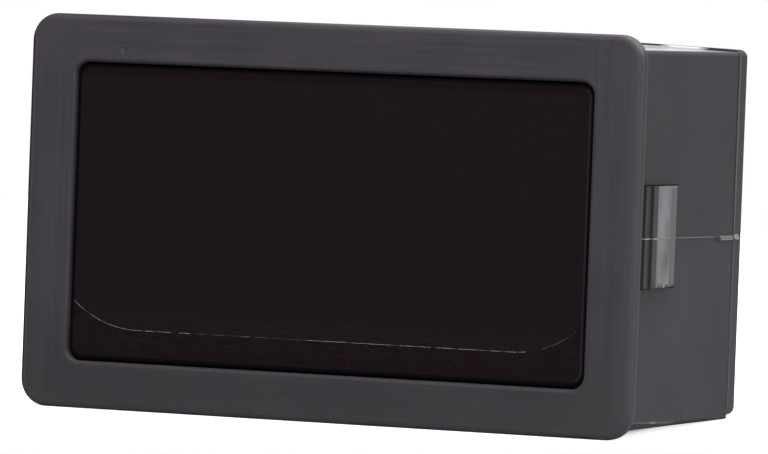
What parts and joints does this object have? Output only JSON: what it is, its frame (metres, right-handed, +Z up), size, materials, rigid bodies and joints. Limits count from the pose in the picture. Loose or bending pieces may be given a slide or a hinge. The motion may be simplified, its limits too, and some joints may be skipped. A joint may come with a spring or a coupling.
{
  "type": "panel ammeter",
  "caption": "Small rectangular digital ammeter with a tinted display window, wide flat frame, shallow box body with side snap clips and a clipped-in rear cover.",
  "frame": {"origin": "centre of the panel hole, in the plane of the panel's front face, where the back of the front frame seats", "axes": "+X to the right seen from the front, +Y into the panel towards the rear cover, +Z up"},
  "size_m": [0.048, 0.0257, 0.029],
  "materials": {
    "case_plastic": "satin charcoal ABS, moulded",
    "smoked_acrylic": "gloss, tinted almost black with a trace of red",
    "clear_film": "clear thin film",
    "black_foam": "matte foam",
    "display_grey": "satin grey",
    "milky_epoxy": "milky epoxy, unlit",
    "tinned_pin": "tinned",
    "green_board": "green solder mask on glass epoxy",
    "chip_black": "moulded epoxy",
    "capacitor_aluminium": "drawn can",
    "resistor_black": "glazed",
    "ceramic_tan": "fired ceramic",
    "shunt_alloy": "drawn resistance wire",
    "trimmer_blue": "moulded",
    "trimmer_white": "moulded",
    "socket_white": "natural nylon"
  },
  "bodies": {
    "meter": {"case": "case_plastic", "window": "smoked_acrylic", "protective_film": "clear_film", "display_gasket": "black_foam", "display_housing": "display_grey", "display_segments": "milky_epoxy", "display_pins": "tinned_pin", "display_board": "green_board", "main_board": "green_board", "board_link_body": "chip_black", "board_link_pins": "tinned_pin", "controller_chip": "chip_black", "controller_chip_leads": "tinned_pin", "amplifier_chip": "chip_black", "amplifier_chip_leads": "tinned_pin", "digit_transistors": "chip_black", "digit_transistor_leads": "tinned_pin", "voltage_regulator": "chip_black", "voltage_regulator_leads": "tinned_pin", "input_diode": "chip_black", "input_diode_straps": "tinned_pin", "capacitor_base": "chip_black", "capacitor_can": "capacitor_aluminium", "chip_resistors": "resistor_black", "ceramic_capacitors": "ceramic_tan", "current_shunt": "shunt_alloy", "trimmer_housing": "trimmer_blue", "trimmer_pins": "tinned_pin", "supply_socket": "socket_white", "supply_pins": "tinned_pin", "measuring_socket": "socket_white", "measuring_pins": "tinned_pin", "rear_cover": "case_plastic"},
    "right_clip": {"snap_clip_right": "case_plastic"},
    "left_clip": {"snap_clip_left": "case_plastic"},
    "rotor": {"trimmer_rotor": "trimmer_white"}
  },
  "joints": [
    {"name": "right_clip_flex", "type": "hinge", "parent": "meter", "child": "right_clip", "pos_m": [0.02245, 0.0096, 0], "axis": [0, 0, 1], "range_deg": [-6.2, 0], "stiffness_Nm_per_rad": 0.7},
    {"name": "left_clip_flex", "type": "hinge", "parent": "meter", "child": "left_clip", "pos_m": [-0.02245, 0.0096, 0], "axis": [0, 0, 1], "range_deg": [0, 6.2], "stiffness_Nm_per_rad": 0.7},
    {"name": "trimmer_turn", "type": "hinge", "parent": "meter", "child": "rotor", "pos_m": [0.0154, 0.021, 0.0046], "axis": [0, 1, 0], "range_deg": [-120, 120]}
  ]
}
